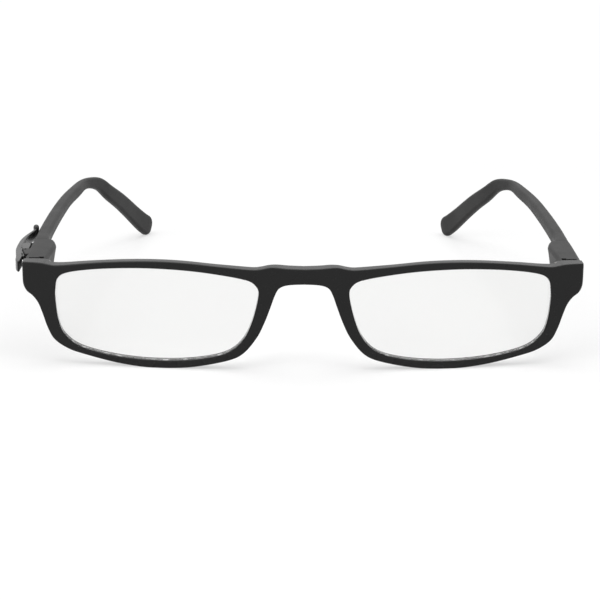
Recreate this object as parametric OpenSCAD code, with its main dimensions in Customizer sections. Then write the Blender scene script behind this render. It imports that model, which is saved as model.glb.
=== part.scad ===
// Full-rim reading glasses with spring hinges and a pocket clip.
// Millimetres. +X is the wearer's left, +Y runs back along the temples, +Z is up.
// The origin lies on the table under the bridge, at the front of the bridge.

/* [Lenses] */
// Width of each lens opening
lens_w = 50.6; // [46:0.2:56]
// Height of each lens opening
lens_h = 23.8; // [22:0.2:30]
// Distance between the two lens openings
lens_gap = 22.4; // [20:0.2:26]
// Thickness of a lens
lens_t = 1.8; // [1.4:0.1:2.2]
// Thickness of the lens edge that sits in the rim's groove
edge_t = 1; // [0.8:0.1:1.2]
// Depth of the groove in the rim
groove_d = 0.5; // [0.3:0.05:0.6]
// Play of a lens in its rim
lens_play = 0.04; // [0.02:0.01:0.08]

/* [Front] */
// Height of the rim above the lens opening
rim_top = 1.8; // [1.4:0.1:2.5]
// Height of the rim below the lens opening
rim_low = 1.9; // [1.7:0.1:3]
// Depth of the rims from front to back
rim_depth = 3.2; // [3:0.1:4]
// Depth of the bridge from front to back
bridge_depth = 3.8; // [3.4:0.1:5]
// Height of the bridge
bridge_h = 3.9; // [3:0.1:5]
// Width of an end piece outside the lens opening
end_w = 8.2; // [7.8:0.1:9.5]
// Height of an end piece at its outer side
end_h = 7.85; // [7.4:0.05:8.3]
// Radius of the front's bow, seen from above
bow_r = 320; // [280:10:420]
// How far the nose pads stand out behind the rims
pad_reach = 2.6; // [1.5:0.1:3.5]
// Radius of the rounded edge of a nose pad
pad_round = 0.9; // [0.6:0.1:1.1]

/* [Temples] */
// Distance from the bridge's front to the far end of the ear tips
temple_reach = 136.6; // [130:0.2:145]
// Height of a temple at its hinge
root_h = 7.2; // [6.8:0.1:7.6]
// Width of the hinge housing, from its inner face to the temple's outer face
housing_w = 6.3; // [6.2:0.1:6.8]
// Wall of the hinge housing behind the spring box
housing_wall = 0.7; // [0.5:0.1:2]
// Thickness of a temple along its straight part
blade_w = 3.5; // [2.8:0.1:3.8]
// Length of the ear piece, from its bend to the far end of the tip
ear_len = 41.1; // [39:0.1:44]
// Thickness of an ear piece
ear_piece_w = 2.4; // [2:0.1:3]
// Height of a temple along its straight part
blade_h = 3.1; // [2.8:0.1:4]
// Height of the ear tip at its widest place
tip_h = 6.3; // [5.4:0.1:7]
// Radius of the temple's rounded long edges
edge_round = 1; // [0.6:0.1:1.2]
// How far the ear tips lean in from the temple's straight part
tip_in = 20.4; // [14:0.1:24]
// Gap between an end piece and its temple when open
hinge_gap = 0.25; // [0.2:0.05:0.4]

/* [Hinges] */
// Radius of the hinge knuckles
knuckle_r = 1.4; // [1.3:0.05:1.5]
// Height of the knuckle on the sliding tongue
slide_knuckle_h = 2; // [1.6:0.1:2.2]
// Width of the front leaf's plate, which is set into the end piece
leaf_w = 3.6; // [3.3:0.1:3.8]
// Height of each knuckle on the front leaf
leaf_knuckle_h = 1.35; // [1.2:0.05:1.45]
// Radius of the hinge screw's shank
screw_r = 0.7; // [0.6:0.05:0.8]
// Radius of the hinge screw's head
screw_head_r = 1.15; // [1:0.05:1.25]
// Thickness of the hinge screw's head
screw_head_h = 0.4; // [0.3:0.05:0.45]
// Width of the slot in the screw's head
screw_slot_w = 0.25; // [0.2:0.05:0.35]
// Play of a shaft in its bore
run_play = 0.05; // [0.03:0.01:0.08]
// Play between a slide and its channel
slide_play = 0.05; // [0.03:0.01:0.08]
// Play of a piece that is pressed or moulded into its pocket
seat_play = 0.02; // [0.01:0.01:0.04]

/* [Spring boxes] */
// Width of the sliding tongue
tongue_w = 1.8; // [1.5:0.1:1.9]
// Height of the sliding tongue
tongue_h = 2; // [1.6:0.1:2.2]
// Wall of the spring box
box_wall = 0.5; // [0.4:0.05:0.55]
// Length of the tongue inside the box
tongue_len = 3.8; // [3.4:0.1:4]
// Length of the spring when the temple is open
spring_len = 5.2; // [4.6:0.1:5.4]
// Number of coils of the hinge spring
spring_turns = 9; // [6:1:10]
// Diameter of the hinge spring's wire
spring_wire = 0.25; // [0.2:0.01:0.28]
// Radius of the rod that carries the spring
rod_r = 0.5; // [0.45:0.01:0.52]
// Length of the stop that the spring pushes against
stop_len = 1; // [0.8:0.1:1.2]
// Length of the cap on the rod's end
cap_len = 0.8; // [0.6:0.1:1]
// Free room in the box behind the rod's cap
rod_room = 1; // [0.6:0.1:1.2]

/* [Pocket clip] */
// Height of the clip
clip_h = 2.8; // [2.4:0.1:3]
// Thickness of the clip beside its pin
clip_t = 1.3; // [1.1:0.05:1.4]
// Thickness of the clip at its free end
clip_t_end = 0.6; // [0.5:0.05:0.9]
// Length of the clip from tab to bead
clip_len = 33.8; // [32:0.1:36]
// How far the clip bows out from the temple
clip_bow = 3.35; // [3.2:0.05:4.5]
// Gap between the clip's thumb tab and the end piece
tab_gap = 0.75; // [0.7:0.05:1]
// Radius of the bead at the clip's free end
bead_r = 0.7; // [0.5:0.05:0.8]
// Distance of the clip's pin behind its thumb tab
pin_back = 11.5; // [10.5:0.1:11.5]
// Radius of the clip's pin
clip_pin_r = 0.3; // [0.25:0.05:0.35]
// Thickness of each ear that holds the clip's pin
ear_t = 0.5; // [0.4:0.05:0.6]
// Radius of the ears and of the clip's hub
ear_r = 0.65; // [0.6:0.05:0.7]
// Gap between the clip's hub and the temple
hub_gap = 0.1; // [0.1:0.05:0.15]
// Diameter of the wire of the clip's spring
clip_wire = 0.16; // [0.12:0.01:0.18]
// Number of coils of the clip's spring
clip_turns = 2; // [2:1:2]

/* [Hidden] */
$fn = 48;
// The edges of a lens opening and of the front, for the wearer's left side
lens_in = lens_gap / 2;
lens_out = lens_in + lens_w;
lens_bot = rim_low;
lens_top = lens_bot + lens_h;
front_top = lens_top + rim_top;
front_out = lens_out + end_w;
bridge_bot = front_top - 1.35 - bridge_h;
end_top = front_top - 1.7;
end_bot = end_top - end_h;
through = 0.5;
// The rear face of an end piece, against which the temple closes
seat_y = rim_depth + 7.7;
// The hinge axis
notch_r = knuckle_r + 0.3;
hinge_y = seat_y + notch_r + 0.1;
side_x = front_out - 0.1;
housing_in = side_x - housing_w;
hinge_x = housing_in + knuckle_r - 0.2;
root_top = end_top - 0.05;
hinge_z = root_top - root_h / 2;
stack_h = slide_knuckle_h + 2 * leaf_knuckle_h + 2 * run_play;
screw_bore_r = screw_r + run_play;
hinge_roof_z = hinge_z + stack_h / 2 + hinge_gap;
// The temple's front end, and the place where its housing ends
root_y = seat_y + hinge_gap;
// The spring box, which lies outside the hinge axis
tongue_x = hinge_x + 1;
channel_w = tongue_w + 2 * slide_play;
channel_h = tongue_h + 2 * slide_play;
box_w = channel_w + 2 * box_wall;
box_h = channel_h + 2 * box_wall;
box_y = hinge_y + notch_r + 0.4;
tongue_end = box_y + tongue_len;
stop_y = tongue_end + slide_play;
spring_y = stop_y + stop_len + seat_play;
cap_y = spring_y + spring_len + seat_play;
rod_end = cap_y + cap_len;
box_end = rod_end + rod_room + box_wall;
housing_end = box_end + housing_wall;
spring_r = (channel_w - spring_wire) / 2 - slide_play;
cap_r = channel_w / 2 - slide_play;
// The temple's straight part and its ear piece
bend_y = temple_reach - ear_len;
tip_r = tip_h / 2;
// The clip
tab_y = seat_y - 2.4;
pin_y = tab_y + pin_back;
pin_x = side_x + hub_gap + ear_r;
clip_z0 = root_top - clip_h;
tab_x = front_out + tab_gap + clip_t / 4;
bow_x = side_x + clip_bow - clip_t / 2;
bead_x = side_x + bead_r - 0.05;
bead_y = tab_y + clip_len;
// The clip's spring lies on the lower ear, and the hub above it
clip_rise = clip_turns * 1.1 * clip_wire;
clip_coil_r = clip_pin_r + clip_wire / 2 + run_play;
clip_coil_z = clip_z0 + ear_t + clip_wire / 2 + seat_play;
hub_z = clip_coil_z + clip_rise + clip_wire / 2 + run_play;
hub_top = root_top - ear_t - run_play;

// Point on a smooth curve between b and c, where a and d are their neighbours
function between(a, b, c, d, t) =
    0.5 * (2 * b + (c - a) * t + (2 * a - 5 * b + 4 * c - d) * t * t
    + (3 * b - a - 3 * c + d) * t * t * t);
// Smooth closed curve through the points, with n steps from each to the next
function closed_curve(p, n) = [
    for (i = [0 : len(p) - 1], k = [0 : n - 1])
        between(p[(i + len(p) - 1) % len(p)], p[i], p[(i + 1) % len(p)], p[(i + 2) % len(p)], k / n)
];
// Smooth open curve through the points
function open_curve(p, n) = concat([
    for (i = [0 : len(p) - 2], k = [0 : n - 1])
        between(p[max(i - 1, 0)], p[i], p[i + 1], p[min(i + 2, len(p) - 1)], k / n)
], [p[len(p) - 1]]);
function unit(v) = v / norm(v);
function across(v) = [v[1], -v[0]];
// A closed outline moved sideways by d, outwards if the outline runs clockwise
function grown(p, d) = [
    for (i = [0 : len(p) - 1])
        p[i] - d * across(unit(p[(i + 1) % len(p)] - p[(i + len(p) - 1) % len(p)]))
];
// Triangles of a skin over m rings of n points each, closed at both ends
function skin_faces(m, n) = concat(
    [for (i = [0 : m - 2], j = [0 : n - 1]) [i * n + j, (i + 1) * n + j, (i + 1) * n + (j + 1) % n]],
    [for (i = [0 : m - 2], j = [0 : n - 1]) [i * n + j, (i + 1) * n + (j + 1) % n, i * n + (j + 1) % n]],
    [for (j = [1 : n - 2]) [0, j, j + 1]],
    [for (j = [1 : n - 2]) [(m - 1) * n, (m - 1) * n + j + 1, (m - 1) * n + j]]
);
// One ring of a round wire at point i of its route
function wire_ring(route, i, r, sides, up) =
    let (t = unit(route[min(i + 1, len(route) - 1)] - route[max(i - 1, 0)]))
    let (a = unit(cross(up, t)))
    let (b = cross(t, a))
    [for (j = [0 : sides - 1]) route[i] + r * (cos(360 * j / sides) * a + sin(360 * j / sides) * b)];

// Outline of the wearer's left lens opening, seen from the front, clockwise from the nose
opening = closed_curve([
    [lens_in, lens_top - 6.4], [lens_in + 0.7, lens_top - 3.9],
    [lens_in + 3.2, lens_top - 2.4], [lens_in + 9.3, lens_top - 1.25],
    [lens_in + 17.2, lens_top - 0.35], [lens_in + 25.9, lens_top],
    [lens_out - 17, lens_top - 0.2], [lens_out - 9.5, lens_top - 0.85],
    [lens_out - 3.2, lens_top - 2], [lens_out - 0.7, lens_top - 3.6],
    [lens_out - 0.05, lens_top - 6.4], [lens_out, lens_top - 9.4],
    [lens_out - 0.6, lens_bot + 9.4], [lens_out - 2.2, lens_bot + 5.6],
    [lens_out - 6.4, lens_bot + 2.6], [lens_out - 15, lens_bot + 0.7],
    [lens_in + 25.5, lens_bot], [lens_in + 15.5, lens_bot + 0.6],
    [lens_in + 8, lens_bot + 2.4], [lens_in + 4, lens_bot + 5.7],
    [lens_in + 1.6, lens_bot + 10.6]
], 4);
// Outer outline of the front's left half, from the top of the bridge round to its underside
half_front = open_curve([
    [0, front_top - 1.35], [4, front_top - 1.2], [8, front_top - 0.9],
    [lens_in - 0.5, front_top - 1.4], [lens_in + 2, front_top - 1.55],
    [lens_in + 9.4, front_top - 0.95], [lens_in + 18, front_top - 0.2],
    [lens_in + 25.4, front_top], [lens_out - 17.2, front_top - 0.3],
    [lens_out - 9.1, front_top - 1.05], [lens_out - 0.9, front_top - 2.1],
    [lens_out + 1.7, end_top - 0.25], [front_out - 4.6, end_top],
    [front_out - 1, end_top], [front_out - 0.15, end_top - 0.6],
    [front_out, end_top - 1.8], [front_out, end_bot + 3.2], [front_out - 0.2, end_bot + 1.7],
    [front_out - 0.9, end_bot + 0.4], [front_out - 2.4, end_bot - 0.8],
    [front_out - 3.8, end_bot - 2.6], [lens_out + 3.3, lens_bot + 10.6],
    [lens_out + 2.2, lens_bot + 7.3], [lens_out + 0.5, lens_bot + 4.2],
    [lens_out - 2.9, lens_bot + 2], [lens_out - 7, lens_bot + 0.75],
    [lens_out - 15, 0.9], [lens_out - 22.5, -0.02],
    [lens_in + 22, -0.02], [lens_in + 15.7, 0.55],
    [lens_in + 7.7, lens_bot + 0.4], [lens_in + 3.7, lens_bot + 2.4],
    [lens_in + 0.4, lens_bot + 6.5], [lens_in - 1.5, lens_bot + 10.4],
    [lens_in - 2.9, bridge_bot - 6.2], [lens_in - 4.1, bridge_bot - 2.8],
    [lens_in - 5.2, bridge_bot - 1], [lens_in - 7.4, bridge_bot - 0.2], [0, bridge_bot]
], 4);
whole_front = concat(half_front, [
    for (i = [len(half_front) - 2 : -1 : 1]) [-half_front[i][0], half_front[i][1]]
]);

// The temple's centre line, from the hinge to the middle of the ear tip's round end
tip_x = side_x - 1.5 - tip_in;
tip_y = temple_reach - tip_r + 0.3;
temple_line = [
    [side_x - 1.5, root_y, hinge_z],
    [side_x - 1.5, box_y + 4, hinge_z + 0.2],
    [side_x - 1.5, housing_end - 3.4, root_top - 3.05],
    [side_x - 1.55, housing_end, root_top - 2.75],
    [side_x - 1.6, housing_end + 1.9, root_top - 2.45],
    [side_x - 1.65, housing_end + 3.9, root_top - 2],
    [side_x - 1.7, housing_end + 9.1, root_top - 1.65],
    [side_x - 1.95, bend_y - 49.5, root_top - 1.35],
    [side_x - 2.45, bend_y - 35.5, root_top - 1.15],
    [side_x - 3.35, bend_y - 20.5, root_top - 0.85],
    [side_x - 4.85, bend_y - 8.5, root_top - 0.7],
    [tip_x + 15.65, bend_y, root_top - 0.75],
    [tip_x + 13.8, bend_y + 5, root_top - 1.3],
    [tip_x + 11.7, bend_y + 10, root_top - 2.95],
    [tip_x + 9.4, bend_y + 15, tip_r + 16],
    [tip_x + 7, bend_y + 21, tip_r + 12.2],
    [tip_x + 5, bend_y + 26, tip_r + 8.7],
    [tip_x + 3.1, bend_y + 31, tip_r + 5.1],
    [tip_x + 1.2, bend_y + 35.5, tip_r + 1.8],
    [tip_x, tip_y, tip_r]
];
// Width inside and outside that line, then the height below and above it
temple_size = [
    [housing_w - 2.1, 1.5, root_h / 2, root_h / 2],
    [housing_w - 1.6, 1.5, root_h / 2 - 0.15, root_h / 2 - 0.15],
    [housing_w - 1.3, 1.5, 3.1, 3.1],
    [housing_w - 1.9, 1.5, 2.85, 2.85],
    [housing_w - 2.6, 1.5, 2.55, 2.55],
    [blade_w / 2 + 0.75, 1.5, 2.1, 2.1],
    [blade_w / 2 + 0.15, blade_w / 2 - 0.2, blade_h / 2 + 0.2, blade_h / 2 + 0.25],
    [blade_w / 2 + 0.05, blade_w / 2 - 0.05, blade_h / 2 + 0.05, blade_h / 2 + 0.05],
    [blade_w / 2, blade_w / 2 - 0.05, blade_h / 2, blade_h / 2],
    [blade_w / 2, blade_w / 2 - 0.2, blade_h / 2, blade_h / 2 - 0.05],
    [blade_w / 2, blade_w / 2 - 0.35, blade_h / 2 + 0.05, blade_h / 2 - 0.05],
    [ear_piece_w / 2 + 0.15, ear_piece_w / 2 + 0.05, blade_h / 2 - 0.05, blade_h / 2 - 0.05],
    [ear_piece_w / 2, ear_piece_w / 2, blade_h / 2 + 0.1, blade_h / 2 + 0.1],
    [ear_piece_w / 2, ear_piece_w / 2, tip_r - 1.15, tip_r - 1.15],
    [ear_piece_w / 2, ear_piece_w / 2, tip_r - 0.8, tip_r - 0.8],
    [ear_piece_w / 2, ear_piece_w / 2, tip_r - 0.6, tip_r - 0.6],
    [ear_piece_w / 2, ear_piece_w / 2, tip_r - 0.45, tip_r - 0.45],
    [ear_piece_w / 2, ear_piece_w / 2, tip_r - 0.3, tip_r - 0.3],
    [ear_piece_w / 2, ear_piece_w / 2, tip_r - 0.1, tip_r - 0.1],
    [ear_piece_w / 2, ear_piece_w / 2, tip_r, tip_r]
];

// A solid seen from the front: an outline in X and Z between two depths
module seen_from_front(outline, y0, y1) {
    translate([0, y1, 0]) rotate([90, 0, 0]) linear_extrude(y1 - y0) polygon(outline);
}
// Everything that lies deeper than d behind the bowed front face
module behind(d) {
    translate([0, bow_r, -through]) cylinder(r = bow_r - d, h = front_top + 2 * through, $fn = 200);
}
// A part that is drawn for the wearer's left side, put on either side
module on_side(left) {
    if (left) children();
    else mirror([1, 0, 0]) children();
}
// An upright cylinder, square block or ring at the hinge axis
module at_hinge(z0, z1, r) {
    translate([hinge_x, hinge_y, z0]) cylinder(r = r, h = z1 - z0);
}
module block(x0, x1, y0, y1, z0, z1) {
    translate([x0, y0, z0]) cube([x1 - x0, y1 - y0, z1 - z0]);
}

module groove_or_edge(left, d, t) {
    on_side(left) intersection() {
        seen_from_front(grown(opening, d), -1, seat_y);
        difference() {
            behind((rim_depth - t) / 2);
            behind((rim_depth + t) / 2);
        }
    }
}
module nose_pad() {
    hull() {
        translate([lens_in - 1.9, rim_depth - pad_round, bridge_bot - 6]) sphere(pad_round, $fn = 16);
        translate([lens_in + 0.9, rim_depth - pad_round, lens_bot + 7.2]) sphere(pad_round, $fn = 16);
        translate([lens_in - 0.7, rim_depth + pad_reach - pad_round, bridge_bot - 7.4])
            sphere(pad_round, $fn = 16);
        translate([lens_in + 1.3, rim_depth + pad_reach - pad_round, lens_bot + 8.4])
            sphere(pad_round, $fn = 16);
    }
}
// The metal of a front leaf that is buried in the end piece
module leaf_root(play) {
    plate_x0 = hinge_x - 1;
    plate_x1 = plate_x0 + leaf_w;
    plate_d = 1.2;
    anchor_d = 1.1;
    block(plate_x0 - play, plate_x1 + play, seat_y - plate_d - play, seat_y,
        hinge_z - stack_h / 2 - play, hinge_z + stack_h / 2 + play);
    block(plate_x0 + 1 - play, plate_x1 - 0.8 + play, seat_y - plate_d - anchor_d - play,
        seat_y - plate_d, hinge_z - 1.4 - play, hinge_z + 1.4 + play);
}
module front_frame() {
    color([0.16, 0.16, 0.16]) difference() {
        union() {
            difference() {
                intersection() {
                    seen_from_front(whole_front, -1, seat_y);
                    behind(0);
                }
                difference() {
                    behind(rim_depth);
                    for (left = [true, false])
                        on_side(left)
                            block(hinge_x - knuckle_r, front_out + 1, 0, seat_y, end_bot - 1, front_top);
                    block(-7.2, 7.2, 0, bridge_depth, 0, front_top);
                }
            }
            for (left = [true, false]) on_side(left) nose_pad();
        }
        for (left = [true, false]) {
            on_side(left) seen_from_front(opening, -2, seat_y + 1);
            groove_or_edge(left, groove_d, edge_t + 2 * lens_play);
            on_side(left) leaf_root(seat_play);
        }
        block(-front_out, front_out, -1, seat_y, -1, 0);
    }
}
module lens(left) {
    color([0.93, 0.96, 0.95, 0.5]) union() {
        groove_or_edge(left, groove_d - lens_play, edge_t);
        groove_or_edge(left, -lens_play, lens_t);
    }
}

module front_leaf(left) {
    color([0.55, 0.55, 0.57]) on_side(left) difference() {
        union() {
            leaf_root(0);
            for (z0 = [hinge_z - stack_h / 2, hinge_z + stack_h / 2 - leaf_knuckle_h]) {
                at_hinge(z0, z0 + leaf_knuckle_h, knuckle_r);
                block(hinge_x - 0.2, hinge_x + knuckle_r, seat_y, hinge_y, z0, z0 + leaf_knuckle_h);
            }
        }
        at_hinge(hinge_z - stack_h, hinge_z + stack_h, screw_bore_r);
    }
}
module hinge_screw(left) {
    head_z = hinge_z - stack_h / 2 - seat_play;
    color([0.7, 0.7, 0.72]) on_side(left) difference() {
        union() {
            at_hinge(head_z, hinge_z + stack_h / 2, screw_r);
            at_hinge(head_z - screw_head_h, head_z, screw_head_r);
        }
        block(hinge_x - 2, hinge_x + 2, hinge_y - screw_slot_w / 2, hinge_y + screw_slot_w / 2,
            head_z - 2 * screw_head_h, head_z - screw_head_h / 2);
    }
}
module hinge_slide(left) {
    color([0.62, 0.62, 0.64]) on_side(left) difference() {
        union() {
            at_hinge(hinge_z - slide_knuckle_h / 2, hinge_z + slide_knuckle_h / 2, knuckle_r);
            block(hinge_x - 0.3, tongue_x + tongue_w / 2, hinge_y, hinge_y + knuckle_r,
                hinge_z - slide_knuckle_h / 2, hinge_z + slide_knuckle_h / 2);
            block(tongue_x - tongue_w / 2, tongue_x + tongue_w / 2, hinge_y + knuckle_r, tongue_end,
                hinge_z - tongue_h / 2, hinge_z + tongue_h / 2);
            translate([tongue_x, tongue_end, hinge_z]) rotate([-90, 0, 0])
                cylinder(r = rod_r, h = rod_end - tongue_end);
        }
        at_hinge(hinge_z - stack_h, hinge_z + stack_h, screw_bore_r);
    }
}
module spring_box(left) {
    color([0.5, 0.5, 0.52]) on_side(left) difference() {
        block(tongue_x - box_w / 2, tongue_x + box_w / 2, box_y, box_end,
            hinge_z - box_h / 2, hinge_z + box_h / 2);
        block(tongue_x - channel_w / 2, tongue_x + channel_w / 2, box_y - 1,
            box_end - box_wall, hinge_z - channel_h / 2, hinge_z + channel_h / 2);
    }
}
module spring_stop(left) {
    color([0.75, 0.66, 0.4]) on_side(left) difference() {
        block(tongue_x - channel_w / 2 + seat_play, tongue_x + channel_w / 2 - seat_play,
            stop_y, stop_y + stop_len,
            hinge_z - channel_h / 2 + seat_play, hinge_z + channel_h / 2 - seat_play);
        translate([tongue_x, stop_y - 1, hinge_z]) rotate([-90, 0, 0])
            cylinder(r = rod_r + run_play, h = stop_len + 2);
    }
}
module rod_cap(left) {
    color([0.75, 0.66, 0.4]) on_side(left) difference() {
        translate([tongue_x, cap_y, hinge_z]) rotate([-90, 0, 0]) cylinder(r = cap_r, h = cap_len);
        translate([tongue_x, cap_y - 1, hinge_z]) rotate([-90, 0, 0])
            cylinder(r = rod_r + seat_play / 2, h = cap_len + 2);
    }
}
module hinge_spring(left) {
    per_turn = 12;
    steps = spring_turns * per_turn;
    rise = (spring_len - spring_wire) / steps;
    coil_r = spring_r - slide_play;
    route = [
        for (i = [0 : steps])
            [tongue_x + coil_r * cos(360 * i / per_turn), spring_y + spring_wire / 2 + rise * i,
            hinge_z + coil_r * sin(360 * i / per_turn)]
    ];
    color([0.8, 0.8, 0.82]) on_side(left) polyhedron(
        [for (i = [0 : steps]) each wire_ring(route, i, spring_wire / 2, 6, [0, 1, 0])],
        skin_faces(steps + 1, 6)
    );
}

// A rounded rectangle across the temple, with five points at each corner
function temple_section(s) =
    let (r = min(edge_round, 0.98 * min(s[0] + s[1], s[2] + s[3]) / 2))
    [
        for (c = [[1, -1, 270], [-1, -1, 180], [-1, 1, 90], [1, 1, 0]], k = [4 : -1 : 0])
            [(c[0] > 0 ? s[1] - r : r - s[0]) + r * cos(c[2] + 22.5 * k),
            (c[1] > 0 ? s[3] - r : r - s[2]) + r * sin(c[2] + 22.5 * k)]
    ];
module temple_blade() {
    steps = 3;
    line = open_curve(temple_line, steps);
    size = open_curve(temple_size, steps);
    count = len(line);
    turn = [for (a = [15, 30, 45, 60, 75, 85]) a];
    ahead = unit(line[count - 1] - line[count - 2]);
    // The round end: the line goes on while the height follows a circle
    all_line = concat(line, [for (a = turn) line[count - 1] + tip_r * sin(a) * ahead]);
    all_size = concat(size, [
        for (a = turn) [size[count - 1][0] * sqrt(cos(a)), size[count - 1][1] * sqrt(cos(a)),
            tip_r * cos(a), tip_r * cos(a)]
    ]);
    rings = [
        for (i = [0 : len(all_line) - 1])
            let (t = i < 4 * steps ? [0, 1, 0] : i >= count - 1 ? ahead
                : unit(all_line[i + 1] - all_line[i - 1]))
            let (out = unit(cross(t, [0, 0, 1])))
            let (up = cross(out, t))
            [for (q = temple_section(all_size[i])) all_line[i] + q[0] * out + q[1] * up]
    ];
    polyhedron([for (ring = rings) each ring], skin_faces(len(rings), len(rings[0])));
}
module temple(left) {
    on_side(left) difference() {
        temple_blade();
        // Room for the knuckles, which the housing's top covers
        at_hinge(0, hinge_roof_z, notch_r);
        block(housing_in - 2, tongue_x + channel_w / 2 + 0.15, root_y - 1, hinge_y, 0, hinge_roof_z);
        // Room on the inner side, where the housing passes the end piece as it folds
        block(housing_in - 2, hinge_x, root_y - 1, hinge_y + 1.3, 0, hinge_roof_z);
        block(tongue_x - box_w / 2 - seat_play, tongue_x + box_w / 2 + seat_play, hinge_y,
            box_end + seat_play,
            hinge_z - box_h / 2 - seat_play, hinge_z + box_h / 2 + seat_play);
    }
}
module left_temple() {
    color([0.2, 0.2, 0.2]) temple(true);
}
// The right temple also has the two ears that hold the clip's pin
module right_temple() {
    color([0.2, 0.2, 0.2]) difference() {
        union() {
            temple(false);
            on_side(false) for (z0 = [clip_z0, root_top - ear_t]) {
                hull() {
                    translate([pin_x, pin_y, z0]) cylinder(r = ear_r, h = ear_t);
                    block(side_x - 1, side_x + 0.35, pin_y - 4.5, pin_y + ear_r, z0, z0 + ear_t);
                }
            }
        }
        on_side(false) translate([pin_x, pin_y, 0]) cylinder(r = clip_pin_r + seat_play, h = front_top);
    }
}

// Middle line of the clip seen from above, with its thickness at each point
clip_line = open_curve([
    [tab_x, tab_y, clip_t / 2], [tab_x + 0.3, tab_y + 2.2, clip_t - 0.05],
    [tab_x + 0.45, tab_y + 5.6, clip_t + 0.2], [bow_x - 0.2, pin_y - 0.6, clip_t],
    [bow_x, pin_y + 3.6, clip_t], [bow_x - 0.1, pin_y + 9.3, clip_t - 0.05],
    [bow_x - 0.45, pin_y + 13, clip_t - 0.35], [bow_x - 1, pin_y + 16, clip_t_end + 0.15],
    [bead_x + 0.15, bead_y - 2.6, clip_t_end], [bead_x, bead_y, clip_t_end]
], 4);
module pocket_clip() {
    last = len(clip_line) - 1;
    sides = [
        for (i = [0 : last])
            let (d = clip_line[min(i + 1, last)] - clip_line[max(i - 1, 0)])
            let (half = across(unit([d[0], d[1]])) * clip_line[i][2] / 2)
            let (p = [clip_line[i][0], clip_line[i][1]])
            [p - half, p + half]
    ];
    outline = concat([for (s = sides) s[0]], [for (i = [last : -1 : 0]) sides[i][1]]);
    color([0.3, 0.3, 0.3]) on_side(false) difference() {
        union() {
            translate([0, 0, clip_z0]) linear_extrude(clip_h) polygon(outline);
            translate([bead_x, bead_y, clip_z0]) cylinder(r = bead_r, h = clip_h);
            translate([bead_x, bead_y, root_top]) sphere(bead_r);
            translate([pin_x, pin_y, hub_z]) cylinder(r = ear_r, h = hub_top - hub_z);
            // The web that joins the hub to the strip, level with the strip behind the upper ear
            block(side_x + 0.4, bow_x - clip_t / 4, pin_y - 4.5, pin_y + 6, hub_z, hub_top);
            block(side_x + 0.1, bow_x - clip_t / 4, pin_y + 1.2, pin_y + 6.5, hub_z, root_top - 0.1);
        }
        translate([pin_x, pin_y, 0]) cylinder(r = clip_pin_r + run_play, h = front_top);
    }
}
module clip_pin() {
    color([0.8, 0.8, 0.82]) on_side(false)
        translate([pin_x, pin_y, clip_z0]) cylinder(r = clip_pin_r, h = clip_h);
}
module clip_spring() {
    per_turn = 12;
    steps = clip_turns * per_turn;
    leg = [[side_x + clip_wire / 2 + seat_play, pin_y + 2.6, clip_coil_z],
        [pin_x - clip_coil_r, pin_y + 1, clip_coil_z]];
    coil = [
        for (i = [0 : steps])
            [pin_x - clip_coil_r * cos(360 * i / per_turn), pin_y - clip_coil_r * sin(360 * i / per_turn),
            clip_coil_z + clip_rise * i / steps]
    ];
    route = concat(leg, coil);
    color([0.85, 0.85, 0.86]) on_side(false) polyhedron(
        [for (i = [0 : len(route) - 1]) each wire_ring(route, i, clip_wire / 2, 6, [0, 0, 1])],
        skin_faces(len(route), 6)
    );
}

module right_lens() { lens(false); }
module left_lens() { lens(true); }
module right_front_leaf() { front_leaf(false); }
module left_front_leaf() { front_leaf(true); }
module right_hinge_screw() { hinge_screw(false); }
module left_hinge_screw() { hinge_screw(true); }
module right_hinge_slide() { hinge_slide(false); }
module left_hinge_slide() { hinge_slide(true); }
module right_spring_box() { spring_box(false); }
module left_spring_box() { spring_box(true); }
module right_spring_stop() { spring_stop(false); }
module left_spring_stop() { spring_stop(true); }
module right_hinge_spring() { hinge_spring(false); }
module left_hinge_spring() { hinge_spring(true); }
module right_rod_cap() { rod_cap(false); }
module left_rod_cap() { rod_cap(true); }

front_frame();
right_lens();
left_lens();
right_front_leaf();
left_front_leaf();
right_hinge_screw();
left_hinge_screw();
right_hinge_slide();
left_hinge_slide();
right_spring_box();
left_spring_box();
right_spring_stop();
left_spring_stop();
right_hinge_spring();
left_hinge_spring();
right_rod_cap();
left_rod_cap();
right_temple();
left_temple();
pocket_clip();
clip_pin();
clip_spring();
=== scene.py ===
"""Reading glasses with spring hinges and a pocket clip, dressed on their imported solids."""
import math

import bmesh
import bpy
from mathutils import Matrix, Vector


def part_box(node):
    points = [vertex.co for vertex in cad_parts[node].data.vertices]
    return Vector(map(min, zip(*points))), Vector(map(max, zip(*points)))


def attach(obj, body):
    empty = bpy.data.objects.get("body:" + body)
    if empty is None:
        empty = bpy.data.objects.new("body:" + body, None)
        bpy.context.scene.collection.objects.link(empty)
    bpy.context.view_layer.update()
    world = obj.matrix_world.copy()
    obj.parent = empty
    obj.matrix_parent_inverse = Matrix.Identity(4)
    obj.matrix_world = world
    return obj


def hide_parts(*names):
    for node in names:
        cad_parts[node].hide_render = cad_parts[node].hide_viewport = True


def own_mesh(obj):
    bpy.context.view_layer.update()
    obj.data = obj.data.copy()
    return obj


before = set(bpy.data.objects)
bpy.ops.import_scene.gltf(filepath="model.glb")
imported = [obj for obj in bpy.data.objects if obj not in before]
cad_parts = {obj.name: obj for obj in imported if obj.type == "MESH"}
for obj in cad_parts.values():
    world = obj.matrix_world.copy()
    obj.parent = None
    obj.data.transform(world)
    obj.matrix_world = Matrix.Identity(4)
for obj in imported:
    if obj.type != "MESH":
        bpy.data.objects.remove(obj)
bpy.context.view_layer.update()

# Sizes are in millimetres and turned into metres where vertices are made
MM = 0.001


def corner_mm(node, which):
    """The lowest (0) or highest (1) corner of a solid, in millimetres."""
    return Vector(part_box(node)[which]) / MM


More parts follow.
